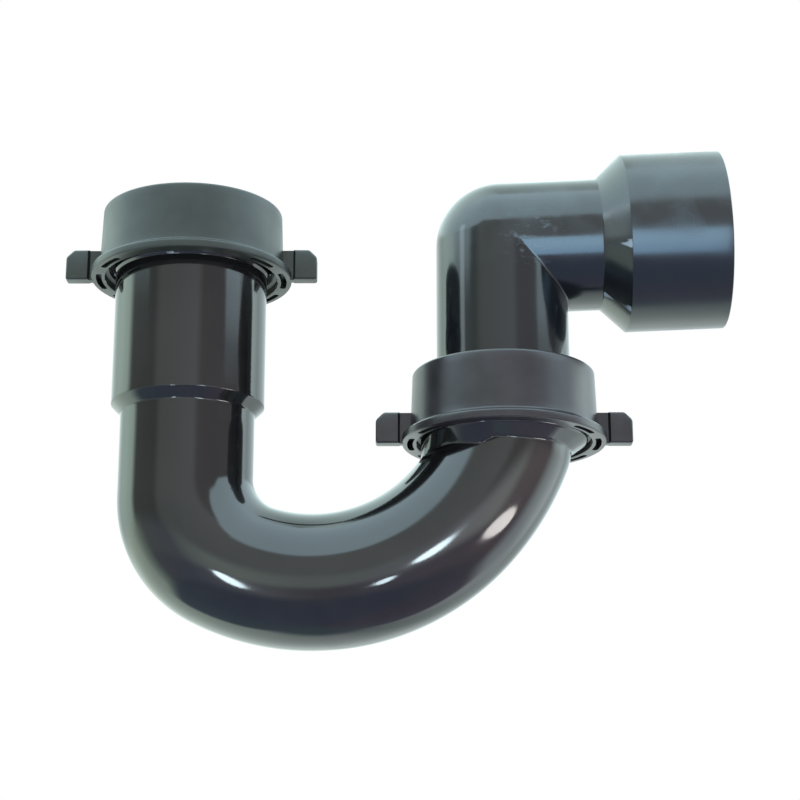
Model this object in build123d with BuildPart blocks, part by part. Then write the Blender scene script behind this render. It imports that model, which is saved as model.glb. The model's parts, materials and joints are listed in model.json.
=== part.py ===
from build123d import *
import os
from math import cos, hypot, radians, sin, tan

# An ABS P-trap: a street elbow with an outlet hub, a J-bend that swivels under it, and a
# slip nut with a bevelled washer at each end of the J-bend. The origin is the centre of the
# outlet hub's mouth, +Z points up the inlet and +X out of the outlet.

os.makedirs("parts", exist_ok=True)

# ---------------------------------------------------------------- driving dimensions, mm
# Pipes
elbow_tube_od = 42.16  # 1-1/4 in. pipe size
elbow_wall = 2.88
bend_tube_od = 42.2
bend_wall = 2.85
tailpiece_od = 38.1  # the 1-1/2 in. drain tube that goes into the inlet
outlet_pipe_od = 48.26  # the 1-1/2 in. pipe that goes into the outlet hub

# Layout
centre_distance = 99.7  # inlet axis to union axis
outlet_reach = 70.55  # elbow corner to the mouth of the hub, along the outlet
outlet_pitch = 2.47  # degrees by which the outlet climbs away from the elbow
union_drop = 42.73  # elbow corner down to the top of the union nut
inlet_rise = 11.76  # elbow corner up to the top of the inlet nut

# Outlet hub
hub_wall = 4.17  # round its pipe socket
hub_taper_length = 8.0
hub_floor = 3.55  # floor of the pipe socket back to the wide end of the taper
outlet_socket_depth = 28.0
hub_rim_round = 0.4

# Bends of the J-bend: the throat of the first, and three headings in degrees above horizontal
first_throat_radius = 1.0
first_heading = -27.0
second_heading = 49.0
last_heading = 68.6
last_radius_ratio = 1.23  # third bend to second bend
leg_sleeve = 58.7  # leg mouth down to the step where the leg becomes the tube
sleeve_inset = 0.67  # radial, inside the root of the thread

# Flange round the outlet end of the J-bend, which closes the union nut's lower end
flange_height = 1.65
flange_show = 0.45  # what stays inside the nut's foot
flange_proud = 0.1  # radial, beyond the thread
flange_floor_rise = 0.75  # flange's edge up to the floor of the socket above it
flange_cone_sink = 1.0  # the cone under the flange ends this far into the tube
bend_end_drop = 1.2  # flange's lower edge down to the end of the last bend

# Slip-joint thread, 11.5 turns to the inch
thread_pitch = 25.4 / 11.5
socket_wall = 3.47  # the wider bore of the two ends to the root of their thread
rim_width = 1.47  # flat part of each end's rim, outside its bevel
thread_depth = 1.3
thread_crest = 0.35
thread_flank = 25.0  # degrees from the radial plane
thread_flange_gap = 0.6  # end of the thread to the flange under the union nut

# Slip nuts
nut_height = 22.7
nut_wall = 2.3  # at the top, round the thread
nut_flare = 0.65  # radial, over the height of the body
nut_top_wall = 3.0
mouth_flare = 1.35  # radial, at the mouth's lead-in
collar_lip = 2.7  # radial, beyond the body
collar_height = 3.7
wing_reach = 8.25  # beyond the collar
wing_height = 10.0
wing_thickness = 5.0
wing_corner = 2.5
pocket_width = 1.8
pocket_depth = 2.6

# Bevelled washers
washer_thickness = 3.0
washer_inset = 0.4  # radial, inside the root of the thread
bevel_depth = 3.6

# Clearances
seat_gap = 0.05  # flat faces pressed together
pipe_clearance = 0.25  # radial, a pipe in its socket
washer_clearance = 0.12  # radial, a pipe in its washer
bevel_clearance = 0.25
thread_clearance = 0.35  # radial, nut to thread
nut_hole_clearance = 0.55  # radial, a pipe in the top of a nut
spigot_end_gap = 0.4

# ---------------------------------------------------------------- derived places
elbow_tube_radius = elbow_tube_od / 2
bend_tube_radius = bend_tube_od / 2
elbow_bore_radius = elbow_tube_radius - elbow_wall
bend_bore_radius = bend_tube_radius - bend_wall
outlet_socket_radius = outlet_pipe_od / 2 + pipe_clearance
hub_radius = outlet_socket_radius + hub_wall
hub_taper_end = outlet_reach - outlet_socket_depth - hub_floor  # from the elbow corner
hub_taper_start = hub_taper_end - hub_taper_length
socket_radius = elbow_tube_radius + pipe_clearance
leg_bore_radius = tailpiece_od / 2 + pipe_clearance

union_x = -outlet_reach * cos(radians(outlet_pitch))
corner_z = -outlet_reach * sin(radians(outlet_pitch))
inlet_x = union_x - centre_distance
union_nut_top = corner_z - union_drop
inlet_nut_top = corner_z + inlet_rise

# Down from the top of a nut: its wall, the washer, then the rim that the washer seals
rim_depth = nut_top_wall + seat_gap + washer_thickness + seat_gap
union_rim = union_nut_top - rim_depth
inlet_rim = inlet_nut_top - rim_depth

# Thread radii: the nut's ridge runs between the turns of the male thread
male_root_radius = max(socket_radius, leg_bore_radius) + socket_wall
leg_radius = male_root_radius - sleeve_inset
male_crest_radius = male_root_radius + thread_depth
female_root_radius = male_crest_radius + thread_clearance
female_crest_radius = male_root_radius + thread_clearance
thread_base = thread_crest + 2 * thread_depth * tan(radians(thread_flank))
thread_start = 1.3  # rim down to the middle of the first turn
flange_rise = flange_show + flange_height  # the nut's foot up to the top of the flange
thread_length = nut_height - rim_depth - thread_start - flange_rise - thread_flange_gap
ridge_root_sink = 0.3  # a ridge is rooted this far into its wall

# Outlet end of the J-bend, under the union nut
flange_radius = male_crest_radius + flange_proud
flange_bottom = union_nut_top - nut_height + flange_show
flange_top = union_nut_top - nut_height + flange_rise
socket_floor = flange_bottom + flange_floor_rise
spigot_end = socket_floor + spigot_end_gap
bend_end = flange_bottom - bend_end_drop

# Inlet leg
leg_step = inlet_rim - leg_sleeve
leg_step_height = leg_radius - bend_tube_radius
leg_stop = leg_step + leg_step_height

# Widths of the three bends follow from the distance they span
heading_a = radians(first_heading)
heading_b = radians(second_heading)
heading_c = radians(last_heading)
first_bend_radius = bend_tube_radius + first_throat_radius
first_bend_width = first_bend_radius * (1 + sin(heading_a))
second_bend_radius = (centre_distance - first_bend_width) / (
    sin(heading_b) - sin(heading_a) + last_radius_ratio * (sin(heading_c) - sin(heading_b))
)
last_bend_radius = last_radius_ratio * second_bend_radius
bends = [
    (first_bend_radius, -90.0, first_heading),
    (second_bend_radius, first_heading, second_heading),
    (last_bend_radius, second_heading, last_heading),
]
bend_climb = sum(
    radius * (cos(radians(start)) - cos(radians(end))) for radius, start, end in bends
)
bend_start = bend_end - bend_climb


# ---------------------------------------------------------------- shared profiles
def side_plane(x):
    """The upright plane through the axis at x: its first coordinate is the radius from there."""
    return Plane(origin=(x, 0, 0), x_dir=(1, 0, 0), z_dir=(0, -1, 0))


def upright_axis(x):
    return Axis((x, 0, 0), (0, 0, 1))


def thread_ridge(x, z, length, root_radius, crest_radius):
    """One helical ridge around the axis at x, from its first turn at height z."""
    inward = 1 if crest_radius > root_radius else -1
    foot = root_radius - inward * ridge_root_sink
    foot_width = thread_base + 2 * ridge_root_sink * tan(radians(thread_flank))
    with BuildPart() as ridge:
        with BuildLine() as path:
            Helix(thread_pitch, length, root_radius, center=(x, 0, z))
        with BuildSketch(side_plane(x)):
            with BuildLine():
                Polyline(
                    (foot, z - foot_width / 2),
                    (crest_radius, z - thread_crest / 2),
                    (crest_radius, z + thread_crest / 2),
                    (foot, z + foot_width / 2),
                    close=True,
                )
            make_face()
        sweep(path=path.line, is_frenet=True)
    return ridge.part


def male_thread(x, rim):
    """The thread on one end of the J-bend, below its rim."""
    return thread_ridge(
        x, rim - thread_start - thread_length, thread_length, male_root_radius, male_crest_radius
    )


def bend_sections():
    """For each bend the plane across its start, the axis that it turns about, and its turn."""
    sections = []
    x, z = inlet_x, bend_start
    for radius, start, end in bends:
        start_angle, end_angle = radians(start), radians(end)
        centre_x = x - radius * sin(start_angle)
        centre_z = z + radius * cos(start_angle)
        heading = (cos(start_angle), 0, sin(start_angle))
        plane = Plane(origin=(x, 0, z), x_dir=(0, 1, 0), z_dir=heading)
        sections.append((plane, Axis((centre_x, 0, centre_z), (0, -1, 0)), end - start))
        x = centre_x + radius * sin(end_angle)
        z = centre_z - radius * cos(end_angle)
    return sections


# ---------------------------------------------------------------- street elbow
outlet_dir = (cos(radians(outlet_pitch)), 0, sin(radians(outlet_pitch)))
corner = (union_x, 0, corner_z)
outlet_plane = Plane(origin=(0, 0, 0), x_dir=(0, 1, 0), z_dir=outlet_dir)
hub_mouth_chamfer = 0.4
spigot_chamfer = 1.0

with BuildPart() as trap_elbow:
    # Spigot with the round corner on top of it
    with BuildSketch(side_plane(union_x)):
        with BuildLine():
            Polyline(
                (0, corner_z + elbow_tube_radius),
                (0, spigot_end),
                (elbow_tube_radius - spigot_chamfer, spigot_end),
                (elbow_tube_radius, spigot_end + spigot_chamfer),
                (elbow_tube_radius, corner_z),
            )
            CenterArc((0, corner_z), elbow_tube_radius, 0, 90)
        make_face()
    revolve(axis=upright_axis(union_x))
    # Outlet tube, taper and hub, all round the outlet axis
    with BuildSketch(Plane(origin=corner, x_dir=outlet_dir, z_dir=(0, -1, 0))):
        with BuildLine():
            Polyline(
                (0, 0),
                (0, elbow_tube_radius),
                (hub_taper_start, elbow_tube_radius),
                (hub_taper_end, hub_radius),
                (outlet_reach - hub_rim_round, hub_radius),
            )
            RadiusArc(
                (outlet_reach - hub_rim_round, hub_radius),
                (outlet_reach, hub_radius - hub_rim_round),
                hub_rim_round,
            )
            Polyline((outlet_reach, hub_radius - hub_rim_round), (outlet_reach, 0), (0, 0))
        make_face()
    revolve(axis=Axis(corner, outlet_dir))
    # Waterway, then the pipe socket
    with BuildSketch(Plane.XY.offset(spigot_end)):
        with Locations((union_x, 0)):
            Circle(elbow_bore_radius)
    extrude(amount=corner_z - spigot_end, mode=Mode.SUBTRACT)
    with Locations(corner):
        Sphere(elbow_bore_radius, mode=Mode.SUBTRACT)
    with BuildSketch(outlet_plane):
        Circle(elbow_bore_radius)
    extrude(amount=-outlet_reach, mode=Mode.SUBTRACT)
    with BuildSketch(outlet_plane):
        Circle(outlet_socket_radius)
    extrude(amount=-outlet_socket_depth, mode=Mode.SUBTRACT)
    with BuildSketch(Plane(origin=(0, 0, 0), x_dir=outlet_dir, z_dir=(0, -1, 0))):
        with BuildLine():
            Polyline(
                (0, 0),
                (-hub_mouth_chamfer, 0),
                (-hub_mouth_chamfer, outlet_socket_radius),
                (0, outlet_socket_radius + hub_mouth_chamfer),
                close=True,
            )
        make_face()
    revolve(axis=Axis((0, 0, 0), outlet_dir), mode=Mode.SUBTRACT)

trap_elbow.part.label = "trap_elbow"
export_step(trap_elbow.part, "parts/trap_elbow.step")


# ---------------------------------------------------------------- J-bend
rim_chamfer = 0.5
leg_runout = inlet_rim - thread_start - thread_length - 0.9
flange_taper = flange_radius - bend_tube_radius + flange_cone_sink
bevel_radius = male_root_radius - rim_width

inlet_thread = male_thread(inlet_x, inlet_rim)
union_thread = male_thread(union_x, union_rim)

with BuildPart() as j_bend:
    # Leg, solid at first
    with BuildSketch(side_plane(inlet_x)):
        with BuildLine():
            Polyline(
                (0, inlet_rim),
                (male_root_radius - rim_chamfer, inlet_rim),
                (male_root_radius, inlet_rim - rim_chamfer),
                (male_root_radius, leg_runout),
                (leg_radius, leg_runout - (male_root_radius - leg_radius)),
                (leg_radius, leg_step),
                (bend_tube_radius, leg_step - leg_step_height),
                (bend_tube_radius, bend_start),
                (0, bend_start),
                close=True,
            )
        make_face()
    revolve(axis=upright_axis(inlet_x))
    for plane, axis, turn in bend_sections():
        with BuildSketch(plane):
            Circle(bend_tube_radius)
        revolve(axis=axis, revolution_arc=turn)
    # Threaded socket over a flange, with the round knuckle where the last bend meets it
    with BuildSketch(side_plane(union_x)):
        with BuildLine():
            Polyline(
                (0, union_rim),
                (male_root_radius - rim_chamfer, union_rim),
                (male_root_radius, union_rim - rim_chamfer),
                (male_root_radius, flange_top),
                (flange_radius, flange_top),
                (flange_radius, flange_bottom),
                (flange_radius - flange_taper, flange_bottom - flange_taper),
                (0, flange_bottom - flange_taper),
                close=True,
            )
        make_face()
    revolve(axis=upright_axis(union_x))
    with Locations((union_x, 0, bend_end)):
        Sphere(bend_tube_radius, arc_size1=-90, arc_size2=0)
    add(inlet_thread)
    add(union_thread)
    # Waterway through the bends, then the bore of the leg and the socket of the union
    for plane, axis, turn in bend_sections():
        with BuildSketch(plane):
            Circle(bend_bore_radius)
        revolve(axis=axis, revolution_arc=turn, mode=Mode.SUBTRACT)
    with Locations((union_x, 0, bend_end)):
        Sphere(bend_bore_radius, mode=Mode.SUBTRACT)
    with BuildSketch(side_plane(inlet_x)):
        with BuildLine():
            Polyline(
                (0, inlet_rim),
                (bevel_radius, inlet_rim),
                (leg_bore_radius, inlet_rim - bevel_depth),
                (leg_bore_radius, leg_stop),
                (bend_bore_radius, leg_stop),
                (bend_bore_radius, bend_start),
                (0, bend_start),
                close=True,
            )
        make_face()
    revolve(axis=upright_axis(inlet_x), mode=Mode.SUBTRACT)
    with BuildSketch(side_plane(union_x)):
        with BuildLine():
            Polyline(
                (0, union_rim),
                (bevel_radius, union_rim),
                (socket_radius, union_rim - bevel_depth),
                (socket_radius, socket_floor),
                (0, socket_floor),
                close=True,
            )
        make_face()
    revolve(axis=upright_axis(union_x), mode=Mode.SUBTRACT)

j_bend.part.label = "j_bend"
export_step(j_bend.part, "parts/j_bend.step")


# ---------------------------------------------------------------- slip nuts
nut_top_round = 1.0
mouth_lead = 1.6
hole_chamfer = 0.6
collar_shoulder = 1.2
nut_top_radius = female_root_radius + nut_wall
nut_base_radius = nut_top_radius + nut_flare
nut_mouth_radius = female_root_radius + mouth_flare
collar_radius = nut_base_radius + collar_lip
wing_tip_radius = collar_radius + wing_reach
wing_foot = female_root_radius + 1.2
wing_edge_round = 0.7
wing_root_round = 1.0
pocket_radius = (nut_mouth_radius + collar_radius) / 2 - 0.35
wing_pocket_arc = 24.0
side_pocket_arc = 17.0
side_pocket_angle = 36.0


def is_wing_root(edge, x):
    """Whether an edge runs up beside a wing where the wing grows out of the nut at x."""
    middle = edge.center()
    reach = hypot(middle.X - x, middle.Y)
    beside_wing = abs(abs(middle.Y) - wing_thickness / 2) < wing_edge_round / 2
    return beside_wing and nut_top_radius - 0.5 < reach < collar_radius + 0.6


def slip_nut(name, x, top, hole_radius, rim):
    """A winged slip nut around the axis at x; its inner ridge is half a turn off the thread."""
    bottom = top - nut_height
    first_turn = rim - thread_start - thread_length + thread_pitch / 2
    ridge = thread_ridge(
        x, first_turn, thread_length - thread_pitch, female_root_radius, female_crest_radius
    )
    with BuildPart() as nut:
        with BuildSketch(side_plane(x)):
            with BuildLine():
                Polyline(
                    (0, top),
                    (nut_top_radius - nut_top_round, top),
                )
                RadiusArc(
                    (nut_top_radius - nut_top_round, top),
                    (nut_top_radius, top - nut_top_round),
                    nut_top_round,
                )
                Polyline(
                    (nut_top_radius, top - nut_top_round),
                    (nut_base_radius, bottom + collar_height),
                    (collar_radius, bottom + collar_height - collar_shoulder),
                    (collar_radius, bottom),
                    (0, bottom),
                    (0, top),
                )
            make_face()
        revolve(axis=upright_axis(x))
        for side in (1, -1):
            with BuildSketch(side_plane(x)):
                with BuildLine():
                    Polyline(
                        (side * wing_foot, bottom),
                        (side * wing_tip_radius, bottom),
                        (side * wing_tip_radius, bottom + wing_height - wing_corner),
                        (side * (wing_tip_radius - wing_corner), bottom + wing_height),
                        (side * wing_foot, bottom + wing_height),
                        close=True,
                    )
                make_face()
            extrude(amount=wing_thickness / 2, both=True)
        wing_edges = nut.edges().filter_by(
            lambda edge: abs(edge.center().X - x) > collar_radius + wing_edge_round
        )
        fillet(wing_edges, wing_edge_round)
        fillet(nut.edges().filter_by(lambda edge: is_wing_root(edge, x)), wing_root_round)
        # Chamber for the thread and the washer, with its lead-in, and the pipe's hole
        with BuildSketch(side_plane(x)):
            with BuildLine():
                Polyline(
                    (0, top),
                    (hole_radius + hole_chamfer, top),
                    (hole_radius, top - hole_chamfer),
                    (hole_radius, top - nut_top_wall),
                    (female_root_radius, top - nut_top_wall),
                    (female_root_radius, bottom + mouth_lead),
                    (nut_mouth_radius, bottom),
                    (0, bottom),
                    close=True,
                )
            make_face()
        revolve(axis=upright_axis(x), mode=Mode.SUBTRACT)
        # Core pockets in the face of the collar
        with BuildSketch(Plane.XY.offset(bottom)):
            with Locations((x, 0)):
                with PolarLocations(0, 2):
                    SlotArc(
                        CenterArc((0, 0), pocket_radius, -wing_pocket_arc / 2, wing_pocket_arc),
                        pocket_width,
                    )
                    for angle in (side_pocket_angle, -side_pocket_angle):
                        SlotArc(
                            CenterArc(
                                (0, 0), pocket_radius, angle - side_pocket_arc / 2, side_pocket_arc
                            ),
                            pocket_width,
                        )
        extrude(amount=pocket_depth, mode=Mode.SUBTRACT)
        add(ridge)
    nut.part.label = name
    export_step(nut.part, f"parts/{name}.step")
    return nut.part


inlet_hole = tailpiece_od / 2 + nut_hole_clearance
union_hole = elbow_tube_radius + nut_hole_clearance
inlet_nut = slip_nut("inlet_nut", inlet_x, inlet_nut_top, inlet_hole, inlet_rim)
union_nut = slip_nut("union_nut", union_x, union_nut_top, union_hole, union_rim)


# ---------------------------------------------------------------- bevelled washers
washer_edge = 0.4


def bevelled_washer(name, x, rim, pipe_radius, bore_radius):
    """A washer that lies on a rim with its bevel down inside the rim's chamfer."""
    hole = pipe_radius + washer_clearance
    edge = male_root_radius - washer_inset
    bevel_top = bevel_radius - bevel_clearance
    tip_depth = bevel_depth * 0.75
    tip_radius = bevel_top + (bore_radius - bevel_radius) * 0.75
    with BuildPart() as washer:
        with BuildSketch(side_plane(x)):
            with BuildLine():
                Polyline(
                    (hole, rim - tip_depth),
                    (tip_radius, rim - tip_depth),
                    (bevel_top, rim + seat_gap),
                    (edge, rim + seat_gap),
                    (edge, rim + seat_gap + washer_thickness - washer_edge),
                    (edge - washer_edge, rim + seat_gap + washer_thickness),
                    (hole + washer_edge, rim + seat_gap + washer_thickness),
                    (hole, rim + seat_gap + washer_thickness - washer_edge),
                    close=True,
                )
            make_face()
        revolve(axis=upright_axis(x))
    washer.part.label = name
    export_step(washer.part, f"parts/{name}.step")
    return washer.part


inlet_washer = bevelled_washer(
    "inlet_washer", inlet_x, inlet_rim, tailpiece_od / 2, leg_bore_radius
)
union_washer = bevelled_washer(
    "union_washer", union_x, union_rim, elbow_tube_radius, socket_radius
)

print("bend radii", [round(radius, 2) for radius, _, _ in bends])
print("bend start", round(bend_start - corner_z, 2), "bend end", round(bend_end - corner_z, 2))
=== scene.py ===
"""Looks of a black ABS P-trap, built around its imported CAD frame."""
import json
import math

import bmesh
import bpy
import numpy as np
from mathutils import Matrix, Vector


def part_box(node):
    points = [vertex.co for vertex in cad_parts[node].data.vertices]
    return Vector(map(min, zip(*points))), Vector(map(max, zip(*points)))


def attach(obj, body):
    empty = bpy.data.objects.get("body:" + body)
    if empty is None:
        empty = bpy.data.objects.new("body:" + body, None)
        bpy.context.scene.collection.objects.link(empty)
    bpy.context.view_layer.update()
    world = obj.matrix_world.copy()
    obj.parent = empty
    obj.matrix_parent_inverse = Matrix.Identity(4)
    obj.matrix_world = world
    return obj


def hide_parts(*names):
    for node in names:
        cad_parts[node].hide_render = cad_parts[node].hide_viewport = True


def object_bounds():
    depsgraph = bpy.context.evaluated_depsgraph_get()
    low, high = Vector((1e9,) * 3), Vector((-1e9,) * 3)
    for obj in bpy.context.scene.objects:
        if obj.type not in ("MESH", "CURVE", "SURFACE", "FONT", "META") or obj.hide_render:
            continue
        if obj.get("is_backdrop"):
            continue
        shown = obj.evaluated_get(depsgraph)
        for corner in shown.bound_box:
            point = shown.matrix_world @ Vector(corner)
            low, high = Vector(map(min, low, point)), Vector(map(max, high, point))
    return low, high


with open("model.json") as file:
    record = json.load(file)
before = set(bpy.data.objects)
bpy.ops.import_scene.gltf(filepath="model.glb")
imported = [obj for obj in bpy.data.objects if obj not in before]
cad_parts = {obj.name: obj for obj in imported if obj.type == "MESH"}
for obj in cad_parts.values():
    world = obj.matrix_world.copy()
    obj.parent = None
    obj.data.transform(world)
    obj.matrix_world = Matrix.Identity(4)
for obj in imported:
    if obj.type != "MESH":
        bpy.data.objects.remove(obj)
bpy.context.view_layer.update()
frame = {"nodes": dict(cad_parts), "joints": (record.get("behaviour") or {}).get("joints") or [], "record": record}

MM = 0.001
TAU = 2 * math.pi
SEGMENTS = 192  # round every tube and nut
PHI = np.arange(SEGMENTS) * TAU / SEGMENTS

# ------------------------------------------------------------------ places, from the frame, in mm
mounts = {mount["name"]: mount for mount in frame["record"]["mounts"]}
joints = {joint["name"]: joint for joint in frame["joints"]}
OUTLET_PITCH = math.asin(mounts["outlet"]["axis"][2])
UNION_X = joints["bend_swivel"]["pos_m"][0] / MM
INLET_X = mounts["inlet"]["pos_m"][0] / MM
HUB_REACH = -UNION_X / math.cos(OUTLET_PITCH)
CORNER_Z = -HUB_REACH * math.sin(OUTLET_PITCH)
SPIGOT_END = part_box("trap_elbow")[0].z / MM
INLET_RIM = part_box("j_bend")[1].z / MM
INLET_NUT_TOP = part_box("inlet_nut")[1].z / MM
UNION_NUT_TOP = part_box("union_nut")[1].z / MM
NUT_HEIGHT = UNION_NUT_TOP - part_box("union_nut")[0].z / MM
UNION_RIM = UNION_NUT_TOP - (INLET_NUT_TOP - INLET_RIM)

# ------------------------------------------------------------------ sizes shared by pieces, in mm
TUBE_R = 21.1
BORE_R = 18.2
ELBOW_R = 21.08
THREAD_PITCH = 25.4 / 11.5
THREAD_START = 1.3  # below the rim
THREAD_LENGTH = 12.6
THREAD_ROOT = 24.8
THREAD_CREST = 26.1
THREAD_HEIGHT = THREAD_CREST - THREAD_ROOT
RIDGE_FOOT = 1.56  # width of the thread's ridge at its foot
RIDGE_TOP = 0.35


# ------------------------------------------------------------------ mesh helpers
def rounded(points, radii, steps=6):
    """A closed outline with its corners rounded: each corner becomes an arc of its radius."""
    out = []
    count = len(points)
    for index, (point, radius) in enumerate(zip(points, radii)):
        corner = Vector(point)
        if radius <= 0:
            out.append(tuple(corner))
            continue
        before = (Vector(points[index - 1]) - corner).normalized()
        after = (Vector(points[(index + 1) % count]) - corner).normalized()
        half = before.angle(after) / 2
        middle = corner + (before + after).normalized() * (radius / math.sin(half))
        start = corner + before * (radius / math.tan(half)) - middle
        end = corner + after * (radius / math.tan(half)) - middle
        turn = math.atan2(start.x * end.y - start.y * end.x, start.dot(end))
        for step in range(steps + 1):
            angle = turn * step / steps
            c, s = math.cos(angle), math.sin(angle)
            out.append((middle.x + c * start.x - s * start.y, middle.y + s * start.x + c * start.y))
    return out


def subdivided(points, longest):
    """An open line of 2-D points with no stretch longer than the given length."""
    out = [points[0]]
    for a, b in zip(points, points[1:]):
        parts = max(1, math.ceil(math.dist(a, b) / longest))
        out += [
            (a[0] + (b[0] - a[0]) * k / parts, a[1] + (b[1] - a[1]) * k / parts)
            for k in range(1, parts + 1)
        ]
    return out


def shares(count):
    """Equal steps above 0, up to 1."""
    return np.arange(1, count + 1) / count


def placed(name, data):
    """A new object of a mesh, a lamp or a camera, in the scene."""
    piece = bpy.data.objects.new(name, data)
    bpy.context.scene.collection.objects.link(piece)
    return piece


def smooth(piece, sharpest=40):
    """Shade a piece smooth, but for edges sharper than an angle in degrees."""
    piece.data.polygons.foreach_set("use_smooth", [True] * len(piece.data.polygons))
    piece.data.set_sharp_from_angle(angle=math.radians(sharpest))


def skin(name, rings):
    """A closed object through rings of points in mm, whose last ring joins the first."""
    rings = np.asarray(rings, float) * MM
    ring_count, ring_size = rings.shape[:2]
    i = np.arange(ring_count)[:, None] * ring_size
    j = np.arange(ring_size)[None, :]
    i_next = (i + ring_size) % (ring_count * ring_size)
    j_next = (j + 1) % ring_size
    faces = np.stack([i + j, i + j_next, i_next + j_next, i_next + j], axis=-1).reshape(-1, 4)
    mesh = bpy.data.meshes.new(name)
    mesh.from_pydata(rings.reshape(-1, 3).tolist(), [], faces.tolist())
    mesh.update()
    shape = bmesh.new()
    shape.from_mesh(mesh)
    if shape.calc_volume(signed=True) < 0:
        bmesh.ops.reverse_faces(shape, faces=shape.faces)
    shape.to_mesh(mesh)
    shape.free()
    piece = placed(name, mesh)
    smooth(piece)
    return piece


def level_ring(x, z, radius, angle=PHI):
    """A circle about the upright axis at x; its height and radius may change with the angle."""
    z = np.broadcast_to(z, angle.shape)
    return np.stack([x + radius * np.cos(angle), radius * np.sin(angle), z], axis=1)


def ridge_height(angle, z, start, end):
    """How far a thread between two heights stands out at an angle and height: a right-handed
    helical ridge, cut off square at its ends."""
    turn = angle / TAU
    along = z - start - turn * THREAD_PITCH
    whole_turns = np.floor((end - start) / THREAD_PITCH)
    nearest = np.clip(np.round(along / THREAD_PITCH), np.ceil(-turn), whole_turns - turn)
    away = np.abs(along - nearest * THREAD_PITCH)
    flank = (RIDGE_FOOT - RIDGE_TOP) / 2
    return THREAD_HEIGHT * np.clip((RIDGE_FOOT / 2 - away) / flank, 0, 1)


# ------------------------------------------------------------------ elbow, in mm
HUB_R = 28.55
HUB_TAPER_START = 31.0  # from the corner, along the outlet
HUB_TAPER_END = 39.0
SOCKET_R = 24.38
SOCKET_FLOOR = HUB_REACH - 28.0
SOCKET_CHAMFER = 0.4
CORNER_CLEAR = 24.0  # past this far from the corner, the tubes are straight
ELBOW_CREASE = 0.7  # radius of the inside corner
ELBOW_STEPS = 28


def turned_lines(radius, arrive, leave, crease, steps):
    """Where two tubes of one radius meet at a corner at (0, 0): for each angle round the tube,
    an arc from its line along arrive to its line along leave. The outside rounds as a ball
    does, and the inside is a crease of its own small radius."""
    turn = leave - arrive
    side = math.copysign(1, turn)
    normal_a = side * np.array([-math.sin(arrive), math.cos(arrive)])
    normal_b = side * np.array([-math.sin(leave), math.cos(leave)])
    # two lines that are 1 mm in from the tubes' middle lines cross here
    crossing = (normal_a + normal_b) / (1 + normal_a @ normal_b)
    rings = []
    for step in range(steps + 1):
        angle = arrive + turn * step / steps
        inward_now = side * np.array([-math.sin(angle), math.cos(angle)])
        ring = []
        for p in PHI:
            inward = radius * math.cos(p)
            bend = max(crease, -inward)
            ring.append(crossing * inward + crossing * bend - inward_now * bend)
        rings.append(np.array(ring))
    return rings


def elbow_surface(up, out):
    """Rings up the spigot, round the corner and out along the outlet, from lists of
    (height, radius) and (distance along the outlet, radius)."""
    corner_r = up[-1][1]
    rings = [level_ring(UNION_X, z, radius) for z, radius in up]
    y = corner_r * np.sin(PHI)
    for flat in turned_lines(corner_r, math.pi / 2, OUTLET_PITCH, ELBOW_CREASE, ELBOW_STEPS):
        rings.append(np.stack([UNION_X + flat[:, 0], y, CORNER_Z + flat[:, 1]], axis=1))
    heading = np.array([math.cos(OUTLET_PITCH), math.sin(OUTLET_PITCH)])
    below = np.array([heading[1], -heading[0]])
    for distance, radius in out:
        x = UNION_X + distance * heading[0] + radius * np.cos(PHI) * below[0]
        z = CORNER_Z + distance * heading[1] + radius * np.cos(PHI) * below[1]
        rings.append(np.stack([x, radius * np.sin(PHI), z], axis=1))
    return rings


def build_elbow():
    """The elbow: spigot, rounded corner, hub and socket outside, and one bore through it."""
    spigot_top = CORNER_Z - CORNER_CLEAR
    spigot = [(SPIGOT_END, ELBOW_R - 1.0), (SPIGOT_END + 0.3, ELBOW_R - 0.35)]  # its rounded end
    spigot += subdivided([(SPIGOT_END + 1.0, ELBOW_R), (spigot_top, ELBOW_R)], 3.0)
    corners = [  # distance from the corner, radius, rounding
        (CORNER_CLEAR, ELBOW_R, 0),
        (HUB_TAPER_START, ELBOW_R, 0.8),
        (HUB_TAPER_END, HUB_R, 0.5),
        (HUB_REACH, HUB_R, 0.4),
        (HUB_REACH, SOCKET_R + SOCKET_CHAMFER, 0.15),
        (HUB_REACH - SOCKET_CHAMFER, SOCKET_R, 0.15),
        (SOCKET_FLOOR, SOCKET_R, 0.4),
        (SOCKET_FLOOR, BORE_R, 0.4),
        (CORNER_CLEAR, BORE_R, 0),
    ]
    outlet = rounded([corner[:2] for corner in corners], [corner[2] for corner in corners])
    outside = elbow_surface(spigot, subdivided(outlet, 3.0))
    bore = elbow_surface(subdivided([(SPIGOT_END, BORE_R), (spigot_top, BORE_R)], 4.0), [])
    return skin("elbow_moulding", outside + bore[::-1])


# ------------------------------------------------------------------ J-bend, in mm
LEG_R = 24.13
LEG_BORE_R = 19.3
LEG_STEP = INLET_RIM - 58.7  # the sleeve ends here
TUBE_TOP = LEG_STEP - (LEG_R - TUBE_R)
TUBE_START = TUBE_TOP - 4
RIM_CHAMFER = 0.5  # of the two threaded rims
SEAT_R = THREAD_ROOT - 1.47  # the washer's bevelled seat in a rim
SEAT_DEPTH = 3.6
THREAD_RUNOUT = 1.2  # plain wall below the thread
THREAD_RINGS = 76
FIRST_RADIUS = 22.1
FIRST_HEADING = math.radians(-27.0)  # where this bend ends, up from level
SECOND_HEADING = math.radians(49.0)
LAST_HEADING = math.radians(68.6)
LAST_RATIO = 1.23  # of the last bend's radius to the second's
FLANGE_TOP = UNION_NUT_TOP - NUT_HEIGHT + 2.1
FLANGE_BOTTOM = UNION_NUT_TOP - NUT_HEIGHT + 0.45
FLANGE_R = THREAD_CREST + 0.1
UNION_SOCKET_R = 21.33  # the spigot sits in this
UNION_SOCKET_FLOOR = FLANGE_TOP - 0.9
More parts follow.
